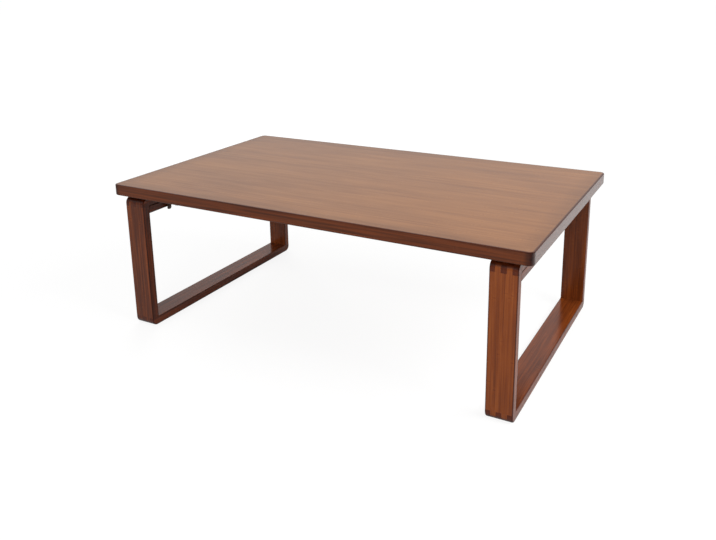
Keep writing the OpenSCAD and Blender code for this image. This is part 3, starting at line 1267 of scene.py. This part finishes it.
@dataclass(frozen=True)
class FoldingBracket:
    """A spring-catch bracket: the base bracket on the top, the leaf bracket on the loop,
    the pin that joins them and the strip that holds them open or shut."""

    side: Side
    end: End
    sizes: TableSizes
    bracket: BracketSizes
    browned: Dress
    spring_steel: Dress

    def build(self) -> None:
        """Makes the bracket's four pieces."""
        prefix = f"{self.side.label}_{self.end.label}"
        place = self.sizes.bracket_place(self.side, self.end)
        for shape, node, name, body, dress in (
            (self._base(), "base_bracket", "base_bracket_plate", TOP_BODY, self.browned),
            (self._leaf(), "leaf_bracket", "leaf_bracket_plate", self.side.loop, self.browned),
            (self._pin(), "pivot_pin", "pivot_rivet", TOP_BODY, self.browned),
            (self._spring(), "catch_spring", "catch_strip", TOP_BODY, self.spring_steel),
        ):
            shape.placed(place).piece(f"{prefix}_{name}", body, [f"{prefix}_{node}"], dress)

    def _finished(self, sheet: Shape) -> Shape:
        """A bent sheet with its thickness and its eased edges."""
        sheet.face_outwards()
        return sheet.thickened(self.bracket.sheet).eased(self.bracket.easing)

    def _base(self) -> Shape:
        """The web under the top, its two cheeks and its mounting tabs.

        Returns:
            The base bracket.
        """
        b = self.bracket
        flat = b.cheek_out - b.bend
        sheet = Shape.strip((b.seat, -flat, b.web), (b.seat, flat, b.web))
        web_end = sheet.drawn(sheet.bm.edges[:], (b.cheek_end - b.seat, 0, 0))
        for edge in sheet.edges(lambda p, q: near(p.y, q.y) and near(abs(p.y), flat)):
            sign = math.copysign(1, edge.verts[0].co.y)
            lip = sheet.bent(edge, (0, sign * flat, b.web - b.bend), (1, 0, 0), -90 * sign)
            sheet.drawn(lip, (0, 0, -(b.boss + b.web)))
        rise = b.web_face - b.boss_slope
        slope = math.atan2(rise, b.cheek_end) - math.acos(b.boss / math.hypot(b.cheek_end, rise))
        sheet.cut_round((0.0, 0.0), b.boss, 180.0, math.degrees(slope) + 360.0, b.boss_steps)
        relief = sheet.drawn(web_end, (b.relief, 0, 0))
        sheet.drawn(relief, (b.tab_end - b.cheek_end - b.relief, 0, 0))
        wings = sheet.edges(
            lambda p, q: near(abs(p.y), flat)
            and near(p.y, q.y)
            and near(p.z, b.web)
            and min(p.x, q.x) > b.cheek_end + 1
        )
        for edge in wings:
            sheet.drawn([edge], (0, math.copysign(b.tab_half - flat, edge.verts[0].co.y), 0))
        sheet.rounded_corners(lambda p: near(abs(p.y), b.tab_half), b.tab_corner, 5)
        return self._finished(sheet)

    def _leaf(self) -> Shape:
        """The plate on the loop's inner face and its two ears, with the flats on which the
        catch strip rests.

        Returns:
            The leaf bracket.
        """
        b = self.bracket
        flat = b.ear_out - b.bend
        top, low = b.catch_flat, b.ear_bottom
        sheet = Shape.strip((b.seat, -flat, low), (b.seat, flat, low))
        sheet.drawn(sheet.bm.edges[:], (0, 0, top - low))
        for edge in sheet.edges(lambda p, q: near(p.y, q.y)):
            sign = math.copysign(1, edge.verts[0].co.y)
            lip = sheet.bent(edge, (b.seat + b.bend, sign * flat, 0), (0, 0, 1), -90 * sign)
            sheet.drawn(lip, (top - b.seat - b.bend, 0, 0))
        middle = (top - b.ear_corner, low + b.ear_corner)
        sheet.cut_round(middle, b.ear_corner, -90.0, 0.0, 8)
        middle = (top - b.flat_corner, top - b.flat_corner)
        sheet.cut_round(middle, b.flat_corner, 0.0, 90.0, 4)
        sheet.cut((0, 0, b.leaf_bottom), (0, 0, -1), clear=False)
        spare = sheet.faces(lambda p, n: near(p.x, b.seat) and p.z < b.leaf_bottom)
        bmesh.ops.delete(sheet.bm, geom=spare, context="FACES")
        return self._finished(sheet)

    def _pin(self) -> Shape:
        """The pin through cheeks and ears, with its two domed heads.

        Returns:
            The pin.
        """
        b = self.bracket
        under, head = b.cheek_out + b.clearance, b.pin_head
        rim = under + 0.9
        crown = rim + 0.8
        neck = [(b.pin, under), (head - 0.2, under), (head, under + 0.2), (head, rim - 0.15)]
        dome = [(head - 0.35, rim + 0.2), (head - 1.1, rim + 0.55), (head - 2.3, crown - 0.06)]
        half = [*neck, *dome, (0.0, crown)]
        profile = [(r, -z) for r, z in reversed(half)] + half
        return Shape.turned(profile, 28).placed(Matrix.Rotation(math.pi / 2, 4, "X"))

    def _spring(self) -> Shape:
        """The steel strip that presses on the ears' flats.

        Returns:
            The strip.
        """
        b = self.bracket
        nose, tail, end = b.catch_flat + b.clearance, b.tail_face, b.cheek_end + 1
        wide, narrow = b.ear_out - 0.5, b.spring_tail
        line = [(x, nose + rise, wide) for x, rise in b.spring_nose]
        for k in range(11):
            x = 9.0 + 1.1 * k
            half = wide + (narrow - wide) * smooth_step(6.0, 14.0, x)
            line.append((x, nose + (tail - nose) * smooth_step(9.0, 20.0, x), half))
        line.append((end, tail, narrow))
        x, z, half = line[0]
        strip = Shape.strip((x, -half, z), (x, half, z))
        edge = strip.bm.edges[:]
        for (x0, z0, _), (x1, z1, half) in zip(line, line[1:]):
            edge = strip.drawn(edge, (x1 - x0, 0, z1 - z0))
            for v in edge[0].verts:
                v.co.y = math.copysign(half, v.co.y)
        strip.rounded_corners(lambda p: near(p.x, end), b.spring_corner, 4)
        strip.face_outwards()
        if strip.bm.faces[:][0].normal.z > 0:
            bmesh.ops.reverse_faces(strip.bm, faces=strip.bm.faces[:])
        return strip.thickened(b.spring).eased(b.spring_easing)


@dataclass(frozen=True)
class Fasteners:
    """The screws and rivets of one side's brackets."""

    side: Side
    sizes: TableSizes
    bracket: BracketSizes
    screw_steel: Dress
    rivet_steel: Dress
    shank: float = 1.9
    head: float = 3.3
    head_height: float = 2.2
    length: float = 17.0
    tip: float = 4.0
    recess: float = 1.5
    slot: float = 0.42
    recess_depth: float = 1.1
    recess_taper: float = 0.6

    def build(self) -> None:
        """Makes the side's screws and rivets, each kind as one piece for both brackets."""
        b = self.bracket
        outwards = Matrix.Rotation(-math.pi / 2, 4, "Y")
        down = [Matrix.Translation((x, y, b.web_face)) for x, y in b.base_screws]
        out = [Matrix.Translation((b.seat + b.sheet, y, z)) @ outwards for y, z in b.leaf_screws]
        low = [Matrix.Translation((x, y, b.tail_face)) for x, y in b.rivets]
        for make, places, name, body, dress in (
            (self._screw, down, "base_screw", TOP_BODY, self.screw_steel),
            (self._screw, out, "leaf_screw", self.side.loop, self.screw_steel),
            (self._rivet, low, "spring_rivet", TOP_BODY, self.rivet_steel),
        ):
            whole = Shape()
            for end in End:
                for place in places:
                    whole.take(make().placed(self.sizes.bracket_place(self.side, end) @ place))
            name = f"{self.side.label}_{name}"
            whole.piece(f"{name}_set", body, [f"{name}s"], dress)

    def _screw(self) -> Shape:
        """A pan-head wood screw with a cross recess, head at Z below 0 and tip up.

        Returns:
            The screw.
        """
        h, r, end = self.head_height, self.head, self.length
        head = [(0.56, -1.0), (0.80, -0.86), (0.94, -0.62), (1.0, -0.30), (1.0, -0.04), (0.97, 0.0)]
        shank = [(self.shank, 0.0), (self.shank, end - self.tip), (0.15, end), (0.0, end)]
        screw = Shape.turned([*((x * r, z * h) for x, z in head), *shank], 24)
        rim = [e for e in screw.bm.edges if e.is_boundary]
        cross = bmesh.ops.create_grid(screw.bm, x_segments=3, y_segments=3, size=self.recess)
        for v in cross["verts"]:
            for k in (0, 1):
                near_middle = abs(v.co[k]) < 0.5 * self.recess
                v.co[k] = math.copysign(self.slot if near_middle else self.recess, v.co[k])
            v.co.z = -h
        spare = screw.faces(
            lambda p, n: near(p.z, -h) and min(abs(p.x), abs(p.y)) > self.slot + 0.1
        )
        bmesh.ops.delete(screw.bm, geom=spare, context="FACES")
        outline = [e for e in screw.bm.edges if e.is_boundary and e not in rim]
        bmesh.ops.triangle_fill(screw.bm, use_beauty=True, edges=[*outline, *rim])
        bottom = screw.faces(
            lambda p, n: near(p.z, -h)
            and max(abs(p.x), abs(p.y)) < self.recess
            and min(abs(p.x), abs(p.y)) < 0.01
        )
        sunk = bmesh.ops.extrude_face_region(screw.bm, geom=bottom)["geom"]
        bmesh.ops.delete(screw.bm, geom=bottom, context="FACES")
        moved = of_kind(sunk, BMVert)
        bmesh.ops.translate(screw.bm, verts=moved, vec=(0, 0, self.recess_depth))
        bmesh.ops.scale(screw.bm, vec=(self.recess_taper, self.recess_taper, 1.0), verts=moved)
        return screw

    def _rivet(self) -> Shape:
        """A low domed rivet below the catch strip's tail, shank up.

        Returns:
            The rivet.
        """
        end = self.bracket.sheet + self.bracket.spring - 0.02
        head = [(0.0, -1.2), (0.9, -1.14), (1.7, -0.90), (2.3, -0.48), (2.6, -0.12), (2.6, 0.0)]
        return Shape.turned([*head, (1.5, 0.0), (1.5, end), (0.0, end)], 24)


@dataclass(frozen=True)
class StopPads:
    """One side's rubber pads, glued under the top, on which the loop's top rail rests."""

    side: Side
    sizes: TableSizes
    rubber: Dress

    def build(self) -> None:
        """Makes the side's three pads."""
        s = self.sizes
        height = s.gap - s.pad_clearance
        x = self.side.value * (s.loop_outer - s.pad_radius - s.pad_inset)
        whole = Shape()
        for y in (-s.bracket_reach, 0.0, s.bracket_reach):
            whole.take(self._pad(height).placed(Matrix.Translation((x, y, s.underside - height))))
        name = f"{self.side.label}_stop_pad"
        whole.piece(f"{name}_set", TOP_BODY, [f"{name}s"], self.rubber)

    def _pad(self, height: float) -> Shape:
        """A moulded pad with a shallow dish in its face.

        Args:
            height: Its height.

        Returns:
            The pad.
        """
        r, dish = self.sizes.pad_radius, 0.45
        face = [(0.0, dish), (r - 3.4, dish), (r - 2.6, 0.0), (r - 0.8, 0.0), (r - 0.25, 0.25)]
        back = [(r, 0.8), (r, height - 0.15), (r - 0.15, height), (0.0, height)]
        return Shape.turned(face + back, 36)


# The room


class SoftBox(NamedTuple):
    """A square lamp that shines on the middle of the table, in metres and watts."""

    name: str
    at: Triple
    energy: float
    size: float = 1.5


@dataclass(frozen=True)
class Studio:
    """A plain pale floor, soft light from above and the photograph's camera."""

    floor_tone: float = 0.98
    floor_drop: float = 0.0004
    floor_half: float = 60.0
    floor_glow: float = 1.08
    far_glow: float = 0.11
    floor_bounce: float = 0.18
    glow_share: float = 0.80
    mirrored_glow_share: float = 0.45
    shaded_glow_share: float = 0.16
    sky: float = 0.28
    low_room: float = 0.60
    dimming: float = 0.72
    boxes: tuple[SoftBox, ...] = (
        SoftBox("front_box", (0.10, -2.60, 1.20), 37.0),
        SoftBox("right_box", (1.95, -0.10, 1.70), 37.0),
        SoftBox("back_box", (-1.80, 2.00, 1.50), 30.0),
    )
    eye: Triple = (0.8271, -1.5101, 0.8251)
    yaw: float = -28.9963
    pitch: float = -14.7881
    roll: float = -0.8536
    lens: float = 37.925
    shift: float = -0.14
    sensor: float = 36.0
    sight: float = 200.0

    def build(self) -> None:
        """Makes the camera, the light and the floor."""
        self._camera()
        self._world()
        for box in self.boxes:
            self._lamp(box)
        self._floor()
        bpy.context.scene.view_settings.view_transform = "Standard"

    def _camera(self) -> None:
        """Puts the camera where the photograph was taken from."""
        data = bpy.data.cameras.new("photo_camera")
        data.sensor_width = self.sensor
        data.lens = self.lens
        data.shift_y = self.shift
        data.clip_end = self.sight
        camera = added("photo_camera", data)
        turn = (
            Matrix.Rotation(-math.radians(self.yaw), 4, "Z")
            @ Matrix.Rotation(math.pi / 2 + math.radians(self.pitch), 4, "X")
            @ Matrix.Rotation(math.radians(self.roll), 4, "Z")
        )
        camera.matrix_world = Matrix.Translation(self.eye) @ turn
        bpy.context.scene.camera = camera

    def _world(self) -> None:
        """An even sky for the light, and a white room for what is seen in it. Mirrored, the
        room is darker low down and behind the camera."""
        world = bpy.data.worlds.new("white_room")
        world.use_nodes = True
        bpy.context.scene.world = world
        graph = Graph(world.node_tree)
        _, seen, glossy = graph.rays()
        x, y, z = graph.parts(graph.node("ShaderNodeTexCoord"))
        towards = (x * 0.66 - y * 0.75).ramp(0.30, 0.85)
        height = z.ramp(0.10, 0.40)
        room = (self.low_room + height * (1 - self.low_room)) * (1.0 - towards * self.dimming)
        strength = self.sky + seen * (1.0 - self.sky) + glossy * (room - self.sky)
        values = {"Color": WHITE, "Strength": strength}
        light = graph.node("ShaderNodeBackground", None, values)
        graph.node("ShaderNodeOutputWorld", None, {"Surface": light})

    def _lamp(self, box: SoftBox) -> None:
        """Adds a soft box.

        Args:
            box: The soft box.
        """
        data = bpy.data.lights.new(box.name, "AREA")
        data.energy = box.energy
        data.size = box.size
        lamp = added(box.name, data)
        lamp.visible_glossy = False
        lamp.location = box.at
        lamp.rotation_euler = Vector(box.at).to_track_quat("Z", "Y").to_euler()

    def _floor(self) -> None:
        """A pale floor that keeps the table's shadow and is clear from below."""
        bm = bmesh.new()
        bmesh.ops.create_grid(bm, x_segments=1, y_segments=1, size=self.floor_half)
        bmesh.ops.translate(bm, verts=bm.verts[:], vec=(0, 0, -self.floor_drop))
        material, graph = new_material("pale_floor")
        camera, direct, glossy = graph.rays()
        seen = direct.larger(glossy)
        tone = self.floor_bounce + seen * (self.floor_tone - self.floor_bounce)
        grey = graph.node("ShaderNodeCombineColor", None, {0: tone, 1: tone, 2: tone})
        lit = graph.node("ShaderNodeBsdfDiffuse", None, {"Color": grey})
        away = graph.length(graph.place())
        strength = self.floor_glow + away.ramp(1.2, 4.0) * self.far_glow
        glow = graph.node("ShaderNodeEmission", None, {"Color": WHITE, "Strength": strength})
        # Glossy rays see less of the floor's glow near the table: painted shadow in the floor's
        # mirror image.
        beyond_shade = self.mirrored_glow_share - self.shaded_glow_share
        mirrored = self.shaded_glow_share + away.ramp(0.40, 0.62) * beyond_shade
        share = direct * self.glow_share + glossy * mirrored
        upper = graph.node("ShaderNodeMixShader", None, {0: share, 1: lit, 2: glow})
        from_below = graph.node("ShaderNodeNewGeometry", output=6) * camera
        clear = graph.node("ShaderNodeBsdfTransparent")
        whole = graph.node("ShaderNodeMixShader", None, {0: from_below, 1: upper, 2: clear})
        graph.node("ShaderNodeOutputMaterial", None, {"Surface": whole})
        floor = mesh_object("floor", bm, material)


def main() -> None:
    """Builds the table's parts in order, and the room round them."""
    logging.basicConfig(level=logging.INFO, format="%(name)s %(message)s")
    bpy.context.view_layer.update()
    sizes, bracket = TableSizes(), BracketSizes()
    top_bamboo = BambooFinish(
        "bamboo_top",
        Grain.LENGTH,
        ply=0.00867,
        ply_base=0.324,
        dark=(0.237, 0.086, 0.026),
        middle=(0.393, 0.162, 0.052),
        light=(0.497, 0.232, 0.082),
        strips=0.10,
        streaks=0.24,
        figure=0.34,
        cloud=0.46,
        narrow_stain=(0.178, 0.100, 0.076),
        end_stain=(0.85, 0.80, 0.78),
        end_coat=0.6,
        # Painted shade on the top's rounded edges, standing in for the dark they reflect.
        shaded_edge_and_joint_stain=(0.46, 0.28, 0.20),
        # Painted shade at the top's outline: a dark line inside the rim, and darker rounded
        # corners.
        outline=(sizes.length / 2 * MM, sizes.depth / 2 * MM, sizes.top_corner * MM),
    )
    rail_bamboo = BambooFinish("bamboo_rails", Grain.DEPTH, streaks=0.55)
    leg_bamboo = BambooFinish("bamboo_legs", Grain.HEIGHT)
    browned_steel = SteelFinish("browned_steel", (0.046, 0.027, 0.018), 0.0, 0.40)
    bare_steel = SteelFinish("spring_steel", (0.42, 0.40, 0.37), 1.0, 0.34, drawn=8.0)
    dull_steel = SteelFinish("screw_steel", (0.23, 0.215, 0.20), 1.0, 0.36)
    top, rails, legs, browned, springs, screws, rubber = (
        Dress(finish.material(), slot)
        for finish, slot in (
            (top_bamboo, "bamboo_top"),
            (rail_bamboo, "bamboo_board"),
            (leg_bamboo, "bamboo_board"),
            (browned_steel, "dark_steel"),
            (bare_steel, "spring_steel"),
            (dull_steel, "screw_steel"),
            (RubberFinish("rubber"), "rubber"),
        )
    )
    # The tones differ partly at random and are partly painted shade: the left loop's boards and the
    # right back leg are set darker where less light reaches them.
    tones = {Side.LEFT: LoopTones(0.25, 0.42, 0.36), Side.RIGHT: LoopTones(0.55, 0.37, 0.47)}
    Studio().build()
    Tabletop(sizes, top).build()
    for side in Side:
        LegLoop(side, sizes, legs, rails, tones[side]).build()
        for end in End:
            FoldingBracket(side, end, sizes, bracket, browned, springs).build()
        Fasteners(side, sizes, bracket, screws, browned).build()
        StopPads(side, sizes, rubber).build()


if __name__ == "__main__":
    main()
